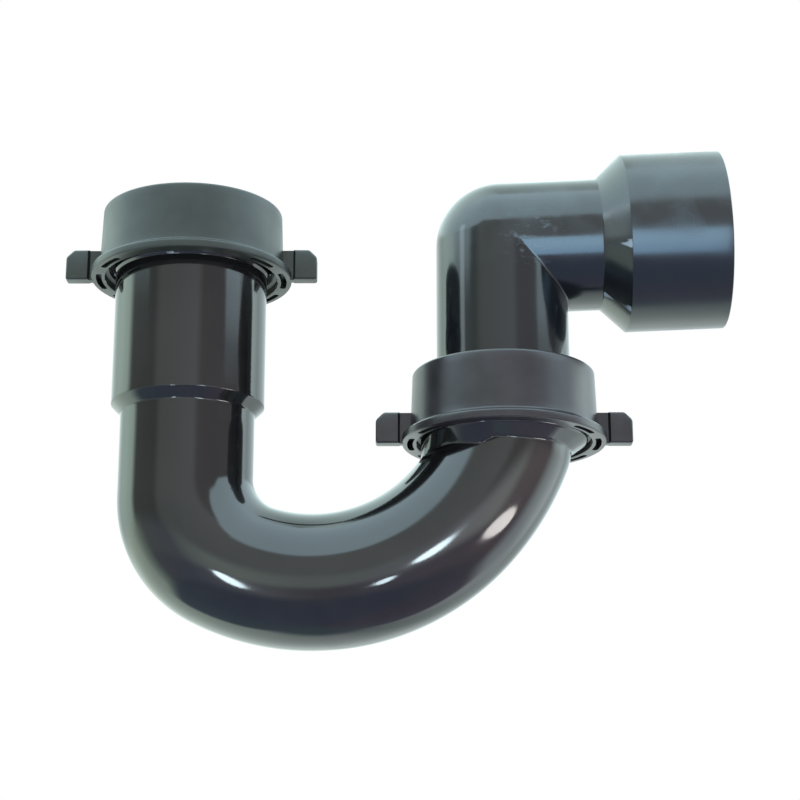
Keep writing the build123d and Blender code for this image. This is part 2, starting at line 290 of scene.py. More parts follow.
BEND_END = FLANGE_BOTTOM - 1.2  # where the last bend's middle line meets the upright
THROAT_R = 10.5  # the web that fills the inside of the first bend
THROAT_SPREAD = 12.0  # how much wider its arc is on the outside of the bend
THROAT_BLEND = 1.5  # how softly the throat's arc takes over from the bend's own
BORE_THROAT_R = 5.0
KNUCKLE_CREASE = 1.2  # radius of the inside corner under the flange
KNUCKLE_STEPS = 8
BELL_ANGLES = [0, 15, 42, 70, 80]  # degrees from the inside of the U
BELL_SLOPES = [0.0, 0.05, 0.7, 0.8, 1.5]  # mm in per mm down
BELL_SOFTENING = 1.0  # how far to each side the tube's end on the bell is rounded


def bend_path():
    """The three bends as (radius, start heading, end heading, centre). The second radius is the
    one that lets them span from the inlet to the union."""
    spread = UNION_X - INLET_X - FIRST_RADIUS * (1 + math.sin(FIRST_HEADING))
    reach = math.sin(SECOND_HEADING) - math.sin(FIRST_HEADING)
    last_reach = math.sin(LAST_HEADING) - math.sin(SECOND_HEADING)
    second_radius = spread / (reach + LAST_RATIO * last_reach)
    arcs = [
        (FIRST_RADIUS, -math.pi / 2, FIRST_HEADING),
        (second_radius, FIRST_HEADING, SECOND_HEADING),
        (second_radius * LAST_RATIO, SECOND_HEADING, LAST_HEADING),
    ]
    climb = sum(radius * (math.cos(start) - math.cos(end)) for radius, start, end in arcs)
    point = np.array([INLET_X, BEND_END - climb])
    path = []
    for radius, start, end in arcs:
        centre = point + radius * np.array([-math.sin(start), math.cos(start)])
        path.append((radius, start, end, centre))
        point = centre + radius * np.array([math.sin(end), -math.cos(end)])
    return path


def lower_lines(radius, throat, first_steps, second_steps):
    """For each angle, the line of the tube through the first two bends, and the height at which
    it leaves the leg. Lines tighter than the throat turn on the throat's own arc instead, which
    opens out to both sides of the inside line."""
    (first_radius, *_), (second_radius, _, end, middle) = bend_path()[:2]
    inward = radius * np.cos(PHI)
    y = radius * np.sin(PHI)
    own = first_radius - inward
    widened = throat + THROAT_SPREAD * (1 - np.cos(PHI))
    arc = (own + widened + np.hypot(own - widened, THROAT_BLEND)) / 2
    arc_x = INLET_X + inward + arc
    reach = second_radius - inward - arc
    turn = np.arcsin((arc_x - middle[0]) / reach)
    arc_z = middle[1] - reach * np.cos(turn)
    rings = []
    for share in shares(first_steps):
        heading = -math.pi / 2 + (turn + math.pi / 2) * share
        x = arc_x + arc * np.sin(heading)
        rings.append(np.stack([x, y, arc_z - arc * np.cos(heading)], axis=1))
    for share in shares(second_steps):
        heading = turn + (end - turn) * share
        x = middle[0] + (second_radius - inward) * np.sin(heading)
        z = middle[1] - (second_radius - inward) * np.cos(heading)
        rings.append(np.stack([x, y, z], axis=1))
    return arc_z, rings


def rising_lines(radius):
    """For each angle, the line of the tube through the last bend, the knuckle and up its socket."""
    bend_radius, start, end, centre = bend_path()[2]
    across = radius * np.cos(PHI)
    y = radius * np.sin(PHI)
    rings = []
    for share in shares(math.ceil(bend_radius * (end - start) / 0.7)):
        heading = start + (end - start) * share
        x = centre[0] + bend_radius * math.sin(heading) - across * math.sin(heading)
        z = centre[1] - bend_radius * math.cos(heading) + across * math.cos(heading)
        rings.append(np.stack([x, y, z], axis=1))
    for flat in turned_lines(radius, end, math.pi / 2, KNUCKLE_CREASE, KNUCKLE_STEPS):
        rings.append(np.stack([UNION_X + flat[:, 0], y, BEND_END + flat[:, 1]], axis=1))
    past_flange = rings[-1].copy()
    past_flange[:, 2] = FLANGE_TOP + 4
    rings.append(past_flange)
    return np.array(rings)


def trimmed(lines, is_kept, count):
    """Each line cut at its first point that isn't kept, then spread over the same number of
    points."""
    out = np.zeros((count, lines.shape[1], 3))
    for k in range(lines.shape[1]):
        line = lines[:, k]
        # rising points only: a mitre makes some of them step back
        rising = [0]
        for i in range(1, len(line)):
            if line[i, 2] > line[rising[-1], 2] + 1e-6:
                rising.append(i)
        line = line[rising]
        fine = np.concatenate(
            [np.linspace(a, b, 12, endpoint=False) for a, b in zip(line, line[1:])] + [line[-1:]]
        )
        kept = is_kept(fine)
        stop = len(fine) - 1 if kept.all() else int(np.argmin(kept))
        fine = fine[: stop + 1]
        length = np.concatenate([[0], np.cumsum(np.linalg.norm(np.diff(fine, axis=0), axis=1))])
        wanted = np.linspace(0, length[-1], count)
        for axis in range(3):
            out[:, k, axis] = np.interp(wanted, length, fine[:, axis])
    return out


def thread_rings(x, rim, angle=PHI):
    """Rings up over the male thread under a rim."""
    end = rim - THREAD_START
    start = end - THREAD_LENGTH
    return [
        level_ring(x, z, THREAD_ROOT + ridge_height(angle, z, start, end), angle)
        for z in np.linspace(start - THREAD_RUNOUT, rim - RIM_CHAMFER, THREAD_RINGS)
    ]


def leg_rings(leaves):
    """Down the leg: rim, thread, sleeve, step, and the tube to where each line leaves it."""
    sleeve_top = INLET_RIM - THREAD_START - THREAD_LENGTH - THREAD_RUNOUT - 0.2
    outline = rounded(
        [
            (THREAD_ROOT, sleeve_top),
            (LEG_R, sleeve_top - (THREAD_ROOT - LEG_R)),
            (LEG_R, LEG_STEP),
            (TUBE_R, TUBE_TOP),
            (TUBE_R, TUBE_START),
        ],
        [0, 0.3, 0.6, 1.2, 0],
    )
    rings = [level_ring(INLET_X, INLET_RIM, THREAD_ROOT - RIM_CHAMFER)]
    rings += thread_rings(INLET_X, INLET_RIM)[::-1]
    rings += [level_ring(INLET_X, z, radius) for radius, z in subdivided(outline, 2.0)]
    for share in shares(10):
        rings.append(level_ring(INLET_X, TUBE_START + (leaves - TUBE_START) * share, TUBE_R))
    return rings


def bell_slope(angle):
    """How far the bell under the flange steps in per mm of drop: a flat cone on the outside of
    the U, steeper past a corner beside the front, and an upright wall on the inside."""
    from_inside = np.degrees(np.arccos(np.clip(-np.cos(angle), -1, 1)))
    return np.interp(from_inside, BELL_ANGLES, BELL_SLOPES)


def outside_bell(points):
    """Which points lie outside the bell under the union's flange."""
    across = points[:, 0] - UNION_X
    inward = bell_slope(np.arctan2(points[:, 1], across))
    bell = FLANGE_R - inward * np.maximum(0, FLANGE_BOTTOM - points[:, 2])
    return np.hypot(across, points[:, 1]) > bell


def below_socket(points):
    """Which points lie below the floor of the union's socket."""
    return points[:, 2] < UNION_SOCKET_FLOOR


def lengths(vectors):
    """The length of each vector, as a column to divide by."""
    return np.linalg.norm(vectors, axis=1)[:, None]


def bell_rings(before, ends, angle):
    """The soft fillet where the tube's lines end on the bell, and the bell out to the flange."""
    arriving = ends - before
    gap = lengths(arriving)
    low = ends - arriving / gap * np.minimum(BELL_SOFTENING, gap * 0.6)
    leaving = level_ring(UNION_X, FLANGE_BOTTOM, FLANGE_R, angle) - ends
    run = lengths(leaving)
    high = ends + leaving / run * np.minimum(BELL_SOFTENING, run * 0.45)
    rings = []
    for t in (0, 0.25, 0.5, 0.75, 1):
        rings.append((1 - t) ** 2 * low + 2 * t * (1 - t) * ends + t * t * high)
    slope = bell_slope(angle)
    for radius, z in (
        (FLANGE_R - 0.5 * slope, FLANGE_BOTTOM - 0.5),
        (FLANGE_R - 0.08 - 0.04 * slope, FLANGE_BOTTOM - 0.04),
        (FLANGE_R, FLANGE_BOTTOM + 0.3),
        (FLANGE_R, FLANGE_TOP - 0.2),
        (FLANGE_R - 0.2, FLANGE_TOP),
        (THREAD_ROOT + 0.1, FLANGE_TOP),
    ):
        rings.append(level_ring(UNION_X, z, radius, angle))
    return rings


def bore_rings():
    """Back from the union's socket through the bends and up the leg."""
    rings = list(trimmed(rising_lines(BORE_R), below_socket, 24)[::-1])
    leaves, lower = lower_lines(BORE_R, BORE_THROAT_R, 16, 30)
    rings += lower[::-1]
    stop = LEG_STEP + (LEG_R - TUBE_R)
    for share in (0, *shares(8)):
        rings.append(level_ring(INLET_X, leaves + (stop - leaves) * share, BORE_R))
    leg_bore = subdivided([(LEG_BORE_R, stop), (LEG_BORE_R, INLET_RIM - SEAT_DEPTH)], 6.0)
    leg_bore += [(SEAT_R, INLET_RIM)]
    return rings + [level_ring(INLET_X, z, radius) for radius, z in leg_bore]


def build_bend():
    """The J-bend: leg, three bends, bell, flange and threaded socket, and its bore."""
    leaves, lower = lower_lines(TUBE_R, THROAT_R, 30, 50)
    rise = trimmed(rising_lines(TUBE_R), outside_bell, 40)
    rings = leg_rings(leaves) + lower + list(rise[:-1])
    before, ends = rise[-2:]
    angle = np.arctan2(ends[:, 1], ends[:, 0] - UNION_X)  # no longer equal steps
    rings += bell_rings(before, ends, angle)
    rings += thread_rings(UNION_X, UNION_RIM, angle)
    for radius, z in (
        (THREAD_ROOT - RIM_CHAMFER, UNION_RIM),
        (SEAT_R, UNION_RIM),
        (UNION_SOCKET_R, UNION_RIM - SEAT_DEPTH),
        (UNION_SOCKET_R, UNION_SOCKET_FLOOR),
    ):
        rings.append(level_ring(UNION_X, z, radius, angle))
    return skin("bend_moulding", rings + bore_rings())


# ------------------------------------------------------------------ nuts, in mm
NUT_TOP_R = 28.75
NUT_BASE_R = 29.4
NUT_MOUTH_R = 27.6
NUT_ROOT = 26.45  # the widest of its thread
NUT_ROOF = 3.0
NUT_THREAD_RINGS = 64
MOUTH_DEPTH = 2.4
INLET_HOLE_R = 19.6
UNION_HOLE_R = 21.63
HOLE_CHAMFER = 0.3
COLLAR_R = 32.1
COLLAR_HEIGHT = 3.7
COLLAR_BAND = 2.5  # the collar's upright part
WING_TIP = 40.35  # from the nut's axis
WING_FOOT = NUT_BASE_R - 1.9
WING_HEIGHT = 10.0
WING_CORNER = 2.5
PAD_START = COLLAR_R + 0.6
PAD_SHOULDER = 0.7
PAD_THICKNESS = 5.0
PAD_ROUND = 0.75
PAD_ROUNDED_FROM = COLLAR_R + 2.5
WEB_THICKNESS = 2.6
POCKET_R = 29.6  # to the middle of a pocket
POCKET_WIDTH = 1.8
POCKET_DEPTH = 2.6
POCKETS = ((0, 24), (36, 17), (-36, 17))  # degrees from a wing, and long
NUT_SHARPEST = 32  # degrees


def nut_body(name, x, top, rim, hole):
    """A nut before its wings and core pockets, threaded to fit under a rim."""
    bottom = top - NUT_HEIGHT
    corners = [  # radius, height, rounding
        (hole, top, 0.5),
        (NUT_TOP_R, top, 1.0),
        (NUT_BASE_R, bottom + COLLAR_HEIGHT, 0.8),
        (COLLAR_R, bottom + COLLAR_BAND, 0.7),
        (COLLAR_R, bottom, 0.5),
        (NUT_MOUTH_R, bottom, 0.3),
        (NUT_MOUTH_R, bottom + MOUTH_DEPTH, 0.2),
        (NUT_ROOT, bottom + MOUTH_DEPTH + 0.4, 0.2),
    ]
    outline = rounded([corner[:2] for corner in corners], [corner[2] for corner in corners])
    rings = [level_ring(x, z, radius) for radius, z in subdivided(outline, 2.5)]
    # half a turn out of step with the rim's own thread, so that the ridges lie in its grooves
    start = rim - THREAD_START - THREAD_LENGTH + THREAD_PITCH / 2
    end = start + THREAD_LENGTH - THREAD_PITCH
    for z in np.linspace(bottom + MOUTH_DEPTH + 0.7, rim - THREAD_START, NUT_THREAD_RINGS):
        rings.append(level_ring(x, z, NUT_ROOT - ridge_height(PHI, z, start, end)))
    ceiling = top - NUT_ROOF
    for radius, z in (
        (NUT_ROOT, ceiling),
        (hole + HOLE_CHAMFER, ceiling),
        (hole, ceiling + HOLE_CHAMFER),
    ):
        rings.append(level_ring(x, z, radius))
    return skin(name, rings)


def prism(outline, low, high):
    """A closed upright prism over a plan outline, in mm."""
    shape = bmesh.new()
    under = [shape.verts.new((x * MM, y * MM, low * MM)) for x, y in outline]
    over = [shape.verts.new((x * MM, y * MM, high * MM)) for x, y in outline]
    for k in range(len(outline)):
        # from the last corner, the next one is the first
        after = (k + 1) % len(outline)
        shape.faces.new((under[k], under[after], over[after], over[k]))
    shape.faces.new(under[::-1])
    shape.faces.new(over)
    return shape


def as_object(name, shape):
    """A bmesh as a new object, with its faces turned outwards."""
    bmesh.ops.recalc_face_normals(shape, faces=shape.faces)
    mesh = bpy.data.meshes.new(name)
    shape.to_mesh(mesh)
    shape.free()
    return placed(name, mesh)


def wing(x, bottom, side):
    """One wing, a thick pad on a thin web, with rounded edges and a chamfered upper corner."""
    half = PAD_THICKNESS / 2
    half_web = WEB_THICKNESS / 2
    plan = [
        (WING_TIP, -half),
        (WING_TIP, half),
        (PAD_START + PAD_SHOULDER, half),
        (PAD_START, half_web),
        (WING_FOOT, half_web),
    ]
    plan += [(px, -py) for px, py in plan[:1:-1]]
    shape = prism([(x + side * px, py) for px, py in plan], bottom, bottom + WING_HEIGHT)
    # the chamfer off the upper outer corner
    normal = Vector((side, 0, 1)).normalized()
    point = Vector((x + side * (WING_TIP - WING_CORNER), 0, bottom + WING_HEIGHT)) * MM
    cut = bmesh.ops.bisect_plane(
        shape, geom=shape.verts[:] + shape.edges[:] + shape.faces[:],
        plane_co=point, plane_no=normal, clear_outer=True,
    )
    rim = [edge for edge in cut["geom_cut"] if isinstance(edge, bmesh.types.BMEdge)]
    bmesh.ops.contextual_create(shape, geom=rim)
    bmesh.ops.recalc_face_normals(shape, faces=shape.faces)
    # round the pad's edges and leave the web's, which end inside the nut
    on_pad = side * (x + side * PAD_ROUNDED_FROM) * MM
    edges = [
        edge for edge in shape.edges
        if max(side * vert.co.x for vert in edge.verts) > on_pad
        and edge.calc_face_angle(0) > math.radians(30)
    ]
    bmesh.ops.bevel(
        shape, geom=edges, offset=PAD_ROUND * MM, segments=4, profile=0.5, affect="EDGES"
    )
    return as_object("wing_tool", shape)


def pocket(x, bottom, angle, arc):
    """A core pocket's tool: an arc slot with round ends in the collar's face."""
    half = math.radians(arc) / 2
    middle = math.radians(angle)
    end_r = POCKET_WIDTH / 2
    outline = []
    for side in (1, -1):
        radius = POCKET_R + side * end_r
        outline += [
            (radius * math.cos(middle + side * t), radius * math.sin(middle + side * t))
            for t in np.linspace(-half, half, 16)
        ]
        end = middle + side * half
        cx, cy = POCKET_R * math.cos(end), POCKET_R * math.sin(end)
        start = end if side > 0 else end + math.pi
        outline += [
            (cx + end_r * math.cos(start + t), cy + end_r * math.sin(start + t))
            for t in np.linspace(0, math.pi, 8)[1:-1]
        ]
    shape = prism([(x + px, py) for px, py in outline], bottom - 1, bottom + POCKET_DEPTH)
    return as_object("pocket_tool", shape)


def boolean(piece, tool, operation):
    """Cut a tool out of a piece or join it on, and remove the tool."""
    modifier = piece.modifiers.new(operation, "BOOLEAN")
    modifier.operation = operation
    modifier.solver = "EXACT"
    modifier.object = tool
    bpy.context.view_layer.objects.active = piece
    bpy.ops.object.modifier_apply(modifier=modifier.name)
    bpy.data.objects.remove(tool)


def join(objects):
    """Several tools as one object."""
    with bpy.context.temp_override(
        active_object=objects[0], object=objects[0],
        selected_objects=objects, selected_editable_objects=objects,
    ):
        bpy.ops.object.join()
    return objects[0]


def build_nut(name, x, top, rim, hole):
    """A slip nut with two wings and, round each of them, three core pockets."""
    piece = nut_body(name, x, top, rim, hole)
    bottom = top - NUT_HEIGHT
    boolean(piece, join([wing(x, bottom, 1), wing(x, bottom, -1)]), "UNION")
    pockets = [
        pocket(x, bottom, wing_angle + offset, arc)
        for wing_angle in (0, 180)
        for offset, arc in POCKETS
    ]
    boolean(piece, join(pockets), "DIFFERENCE")
    smooth(piece, NUT_SHARPEST)
    return piece


# ------------------------------------------------------------------ node helpers
def feed(tree, socket, value):
    """Link an output to a socket, or set a constant on it."""
    if isinstance(value, bpy.types.NodeSocket):
        tree.links.new(value, socket)
    else:
        socket.default_value = value


def noise(tree, scale, detail=3.0, stretch=(1, 1, 1)):
    """Noise over the object's own coordinates: scale per metre, detail in octaves."""
    place = tree.nodes.new("ShaderNodeTexCoord")
    mapping = tree.nodes.new("ShaderNodeMapping")
    mapping.inputs["Scale"].default_value = stretch
    texture = tree.nodes.new("ShaderNodeTexNoise")
    texture.inputs["Scale"].default_value = scale
    texture.inputs["Detail"].default_value = detail
    tree.links.new(place.outputs["Object"], mapping.inputs["Vector"])
    tree.links.new(mapping.outputs["Vector"], texture.inputs["Vector"])
    return texture.outputs["Fac"]


def remap(tree, value, low, high, from_low=0.3, from_high=0.7):
    """A value from one range in another, clamped; noise lies mostly in the range given here."""
    node = tree.nodes.new("ShaderNodeMapRange")
    node.inputs["From Min"].default_value = from_low
    node.inputs["From Max"].default_value = from_high
    node.inputs["To Min"].default_value = low
    node.inputs["To Max"].default_value = high
    tree.links.new(value, node.inputs["Value"])
    return node.outputs["Result"]


def math_node(tree, operation, first, second=None):
    """One operation on one or two outputs or numbers."""
    node = tree.nodes.new("ShaderNodeMath")
    node.operation = operation
    feed(tree, node.inputs[0], first)
    if second is not None:
        feed(tree, node.inputs[1], second)
    return node.outputs[0]


def blend(tree, factor, low, high):
    """From the low colour to the high one as the factor rises; each is an output or an RGB."""
    node = tree.nodes.new("ShaderNodeMix")
    node.data_type = "RGBA"
    tree.links.new(factor, node.inputs[0])
    for socket, colour in ((node.inputs[6], low), (node.inputs[7], high)):
        feed(tree, socket, (*colour, 1) if isinstance(colour, tuple) else colour)
    return node.outputs[2]


def bumped(tree, shader, heights):
    """Bump from a list of (height output, distance in mm)."""
    previous = None
    for height, distance in heights:
        node = tree.nodes.new("ShaderNodeBump")
        node.inputs["Strength"].default_value = 1.0
        node.inputs["Distance"].default_value = distance * MM
        tree.links.new(height, node.inputs["Height"])
        if previous:
            tree.links.new(previous, node.inputs["Normal"])
        previous = node.outputs["Normal"]
    tree.links.new(previous, shader.inputs["Normal"])


def near(tree, spot, inner, outer):
    """1 within the inner radius of a spot, 0 past the outer one, all in mm."""
    place = tree.nodes.new("ShaderNodeTexCoord")
    away = tree.nodes.new("ShaderNodeVectorMath")
    away.operation = "DISTANCE"
    away.inputs[1].default_value = [value * MM for value in spot]
    tree.links.new(place.outputs["Object"], away.inputs[0])
    return remap(tree, away.outputs["Value"], 1, 0, inner * MM, outer * MM)


# ------------------------------------------------------------------ materials
ABS_IOR = 1.52
NUT_IOR = 1.49
WASHER_IOR = 1.5
# the paler grey of rubbed plastic on sharp edges, also a painted highlight in place of the edges' glints
EDGE_WEAR_AND_HIGHLIGHT = (0.30, 0.31, 0.34)
SHARP_EDGE = (0.53, 0.58)  # pointiness where the edge wear and the painted edge highlight start and are full
HAZE_X = (-0.062, -0.022)  # metres: where the elbow's haze starts and is full
HANDLED_Z = (-0.016, 0.0)  # metres: the same for finger smudges
SMUDGE_STRENGTH = 0.45
SCUFF_ROUGHNESS = 0.26
SCUFFED_SPOT = (UNION_X + 9, -ELBOW_R, CORNER_Z - 2)  # beside the top of the elbow's crease


def material(name, build):
    """A new node material; build gets its tree and its Principled shader."""
    made = bpy.data.materials.new(name)
    made.use_nodes = True
    tree = made.node_tree
    build(tree, tree.nodes["Principled BSDF"])
    return made


def moulded_abs(tree, shader):
    """What both black mouldings share: their index, soft ripples and a fine grain."""
    shader.inputs["IOR"].default_value = ABS_IOR
    bumped(tree, shader, [(noise(tree, 45, 1), 0.05), (noise(tree, 900, 2), 0.002)])


def edge_wear_and_highlight(tree, colour):
    """A colour turned paler in patches along the sharp edges: partly rubbed plastic, partly a painted highlight
    standing in for the edges' glints.
    """
    shape = tree.nodes.new("ShaderNodeNewGeometry")
    edge = remap(tree, shape.outputs["Pointiness"], 0, 1, *SHARP_EDGE)
    patches = remap(tree, noise(tree, 130, 4), 0.15, 1, 0.42, 0.56)
    return blend(tree, math_node(tree, "MULTIPLY", edge, patches), colour, EDGE_WEAR_AND_HIGHLIGHT)


def gloss_abs(tree, shader):
    """The J-bend's plastic: near black, faintly mottled and glossy."""
    moulded_abs(tree, shader)
    mottling = remap(tree, noise(tree, 60, 4), 0, 1)
    colour = blend(tree, mottling, (0.006, 0.006, 0.007), (0.012, 0.011, 0.011))
    # paler patches on the sharp edges: wear, and a painted highlight along the edges
    tree.links.new(edge_wear_and_highlight(tree, colour), shader.inputs["Base Color"])
    tree.links.new(remap(tree, noise(tree, 35, 5), 0.06, 0.12), shader.inputs["Roughness"])


def scuffed_abs(tree, shader):
    """The same plastic, hazed by handling towards the hub and scuffed beside the corner."""
    moulded_abs(tree, shader)
    place = tree.nodes.new("ShaderNodeTexCoord")
    split = tree.nodes.new("ShaderNodeSeparateXYZ")
    tree.links.new(place.outputs["Object"], split.inputs[0])
    rough = tree.nodes.new("ShaderNodeMix")
    tree.links.new(remap(tree, split.outputs["X"], 0, 1, *HAZE_X), rough.inputs[0])
    tree.links.new(remap(tree, noise(tree, 35, 5), 0.08, 0.14), rough.inputs[2])
    tree.links.new(remap(tree, noise(tree, 55, 6), 0.19, 0.265), rough.inputs[3])
    scratches = remap(tree, noise(tree, 300, 10, (1, 1, 1.8)), 0, 1, 0.52, 0.70)
    smudges = remap(tree, noise(tree, 75, 6), 0, 1, 0.42, 0.74)
    scuffed = math_node(tree, "MULTIPLY", scratches, near(tree, SCUFFED_SPOT, 5, 13))
    upper = remap(tree, split.outputs["Z"], 0, 1, *HANDLED_Z)
    handled = math_node(tree, "MULTIPLY", smudges, upper)
    faint = math_node(tree, "MULTIPLY", handled, SMUDGE_STRENGTH)
    mask = math_node(tree, "MAXIMUM", scuffed, faint)
    scuff_roughness = math_node(tree, "MULTIPLY", mask, SCUFF_ROUGHNESS)
    roughness = math_node(tree, "ADD", rough.outputs[0], scuff_roughness)
    tree.links.new(roughness, shader.inputs["Roughness"])
    grey = blend(tree, mask, (0.009, 0.010, 0.011), (0.075, 0.085, 0.088))
    # paler patches on the sharp edges: wear, and a painted highlight along the edges
    tree.links.new(edge_wear_and_highlight(tree, grey), shader.inputs["Base Color"])


def nut_plastic(dark, light, smoothest, roughest):
    """A builder of a matt, grained plastic between two colours and two roughnesses."""
    def build(tree, shader):
        shader.inputs["IOR"].default_value = NUT_IOR
        colour = blend(tree, remap(tree, noise(tree, 120, 5), 0, 1), dark, light)
        tree.links.new(colour, shader.inputs["Base Color"])
        wear = remap(tree, noise(tree, 50, 4), smoothest, roughest)
        tree.links.new(wear, shader.inputs["Roughness"])
        bumped(tree, shader, [(noise(tree, 60, 1), 0.04), (noise(tree, 2500, 3), 0.006)])

    return build


def washer_plastic(tree, shader):
    """Off-white polyethylene, slightly translucent."""
    shader.inputs["IOR"].default_value = WASHER_IOR
    shader.inputs["Subsurface Weight"].default_value = 0.2
    shader.inputs["Subsurface Radius"].default_value = (0.002, 0.002, 0.002)
    mottling = remap(tree, noise(tree, 90), 0, 1)
    colour = blend(tree, mottling, (0.62, 0.62, 0.58), (0.74, 0.74, 0.70))
    tree.links.new(colour, shader.inputs["Base Color"])
    tree.links.new(remap(tree, noise(tree, 70), 0.35, 0.5), shader.inputs["Roughness"])
    bumped(tree, shader, [(noise(tree, 1200, 3), 0.004)])


def floor_paint(tree, shader):
    """Pale grey, but plain white to the camera."""
    shader.inputs["Base Color"].default_value = (0.8, 0.8, 0.8, 1)
    shader.inputs["Roughness"].default_value = 0.8
    path = tree.nodes.new("ShaderNodeLightPath")
    white = tree.nodes.new("ShaderNodeEmission")
    mix = tree.nodes.new("ShaderNodeMixShader")
    tree.links.new(path.outputs["Is Camera Ray"], mix.inputs[0])
    tree.links.new(shader.outputs[0], mix.inputs[1])
    tree.links.new(white.outputs[0], mix.inputs[2])
    tree.links.new(mix.outputs[0], tree.nodes["Material Output"].inputs[0])


# ------------------------------------------------------------------ the object
def paint(piece, look):
    """Give a piece one look all over."""
    piece.data.materials.clear()
    piece.data.materials.append(look)


def finish(piece, look, body, node):
    """Give a moulding its look and put it in the place of its CAD node."""
    paint(piece, look)
    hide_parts(node)
    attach(piece, body)


black_abs = material("black_abs", gloss_abs)
elbow_abs = material("scuffed_abs", scuffed_abs)
inlet_nut_look = material(
    "dusty_nut", nut_plastic((0.020, 0.024, 0.020), (0.036, 0.041, 0.035), 0.36, 0.50)
)
union_nut_look = material(
    "clean_nut", nut_plastic((0.024, 0.019, 0.023), (0.041, 0.033, 0.039), 0.285, 0.335)
)
washer_look = material("washer_plastic", washer_plastic)

elbow = build_elbow()
finish(elbow, elbow_abs, "elbow", "trap_elbow")
bend = build_bend()
finish(bend, black_abs, "bend", "j_bend")
inlet_nut = build_nut("inlet_nut_moulding", INLET_X, INLET_NUT_TOP, INLET_RIM, INLET_HOLE_R)
finish(inlet_nut, inlet_nut_look, "inlet_nut", "inlet_nut")
union_nut = build_nut("union_nut_moulding", UNION_X, UNION_NUT_TOP, UNION_RIM, UNION_HOLE_R)
finish(union_nut, union_nut_look, "union_nut", "union_nut")
for washer in ("inlet_washer", "union_washer"):
    paint(frame["nodes"][washer], washer_look)


# ------------------------------------------------------------------ camera
def way_to(azimuth, elevation):
    """The way from the object to a place round it, in degrees: azimuth 0 is in front of it and
    positive to the right."""
    a, e = math.radians(azimuth), math.radians(elevation)
    return Vector((math.sin(a) * math.cos(e), -math.cos(a) * math.cos(e), math.sin(e)))


AIM = Vector((UNION_X - 32.7, 0, CORNER_Z - 50.8)) * MM
DISTANCE = 650.4 * MM
TOWARDS = way_to(0.25, -16.6)
lens = bpy.data.cameras.new("camera")
lens.lens = 92.65
lens.sensor_width = 36
lens.clip_start = 0.01
lens.clip_end = 20
camera = placed("camera", lens)
camera.location = AIM + TOWARDS * DISTANCE
camera.rotation_euler = (-TOWARDS).to_track_quat("-Z", "Y").to_euler()
bpy.context.scene.camera = camera
bpy.context.scene.view_settings.view_transform = "Standard"

# ------------------------------------------------------------------ the room
# Each list goes round the object as (azimuth in degrees, what is there). Colours are linear and
# SURROUND times as bright.
SURROUND = 5.0
LIGHT_SHARE = 0.4  # of that brightness, where the room lights rather than is mirrored
SKY = [  # an overhead softbox, brightest in front
    (-170, (0.30, 0.38, 0.38)),
    (-120, (0.50, 0.64, 0.64)),
    (-80, (0.60, 0.80, 0.88)),
    (90, (0.58, 0.76, 0.84)),
    (130, (0.44, 0.56, 0.60)),
    (170, (0.30, 0.38, 0.38)),
]
SKY_EDGE = [  # the elevation of its lower edge in degrees: the camera's stand hides it in front
    (-170, 24),
    (-110, 20),
    (-100, 19),
    (-62, 19),
    (-52, 23),
    (-46, 24),
    (-36, 31),
    (2, 31),
    (7, 35),
    (22, 35),
    (30, 31),
    (42, 24),
    (52, 23),
    (62, 17),
    (84, 17),
    (90, 20),
    (170, 21),
]
SKY_SOFTNESS = 4  # degrees above its edge where it reaches full brightness
LEVEL = [  # at the height of the object: dark in front, with a pale window at each side
    (-170, (0.25, 0.275, 0.27)),
    (-132, (0.27, 0.34, 0.32)),
    (-114, (0.46, 0.60, 0.53)),
    (-98, (0.56, 0.73, 0.64)),
    (-88, (0.11, 0.12, 0.11)),
    (-50, (0.11, 0.12, 0.11)),
    (-40, (0.20, 0.22, 0.20)),
    (16, (0.25, 0.26, 0.27)),
    (25, (0.16, 0.15, 0.15)),
    (84, (0.13, 0.12, 0.13)),
    (96, (0.58, 0.68, 0.70)),
    (114, (0.60, 0.72, 0.72)),
    (130, (0.28, 0.34, 0.35)),
    (170, (0.22, 0.26, 0.27)),
]
LEVEL_EDGE = (-8, 4)  # degrees over which LOW gives way to it
LOW = [  # below the object, where a pale table lies in front
    (-170, (0.28, 0.325, 0.31)),
    (-105, (0.50, 0.62, 0.52)),
    (-90, (0.30, 0.38, 0.32)),
    (-78, (0.17, 0.19, 0.19)),
    (-40, (0.18, 0.20, 0.23)),
    (-30, (0.26, 0.31, 0.30)),
    (-15, (0.36, 0.43, 0.40)),
    (-3, (0.29, 0.34, 0.32)),
    (12, (0.31, 0.33, 0.36)),
    (24, (0.44, 0.46, 0.49)),
    (44, (0.50, 0.52, 0.51)),
    (56, (0.28, 0.24, 0.25)),
    (84, (0.22, 0.18, 0.19)),
    (98, (0.46, 0.53, 0.54)),
    (114, (0.52, 0.59, 0.60)),
    (125, (0.50, 0.57, 0.58)),
    (135, (0.27, 0.31, 0.31)),
    (152, (0.20, 0.23, 0.23)),
    (170, (0.25, 0.285, 0.28)),
]
LOW_EDGE = (-26, -16)  # degrees over which LOWER gives way to it
LOWER = [  # the same further down, where the front is dark
    (-170, (0.34, 0.395, 0.38)),
    (-105, (0.48, 0.60, 0.52)),
    (-90, (0.28, 0.36, 0.32)),
    (-78, (0.15, 0.16, 0.18)),
    (-40, (0.13, 0.15, 0.20)),
    (-15, (0.21, 0.22, 0.25)),
    (0, (0.13, 0.12, 0.14)),
    (15, (0.15, 0.14, 0.19)),
    (45, (0.17, 0.14, 0.17)),
    (84, (0.16, 0.13, 0.15)),
    (100, (0.42, 0.48, 0.51)),
    (124, (0.44, 0.49, 0.50)),
    (140, (0.27, 0.31, 0.31)),
    (152, (0.23, 0.27, 0.27)),
    (170, (0.33, 0.375, 0.37)),
]
LOWER_START = -46  # degrees, where NADIR starts to give way to it in front
LOWER_DROP = 28  # degrees further down behind the object, where the pale room reaches lower
LOWER_SOFTNESS = 12
BEHIND = (115, 145)  # degrees to either side of the front where that drop starts and is full
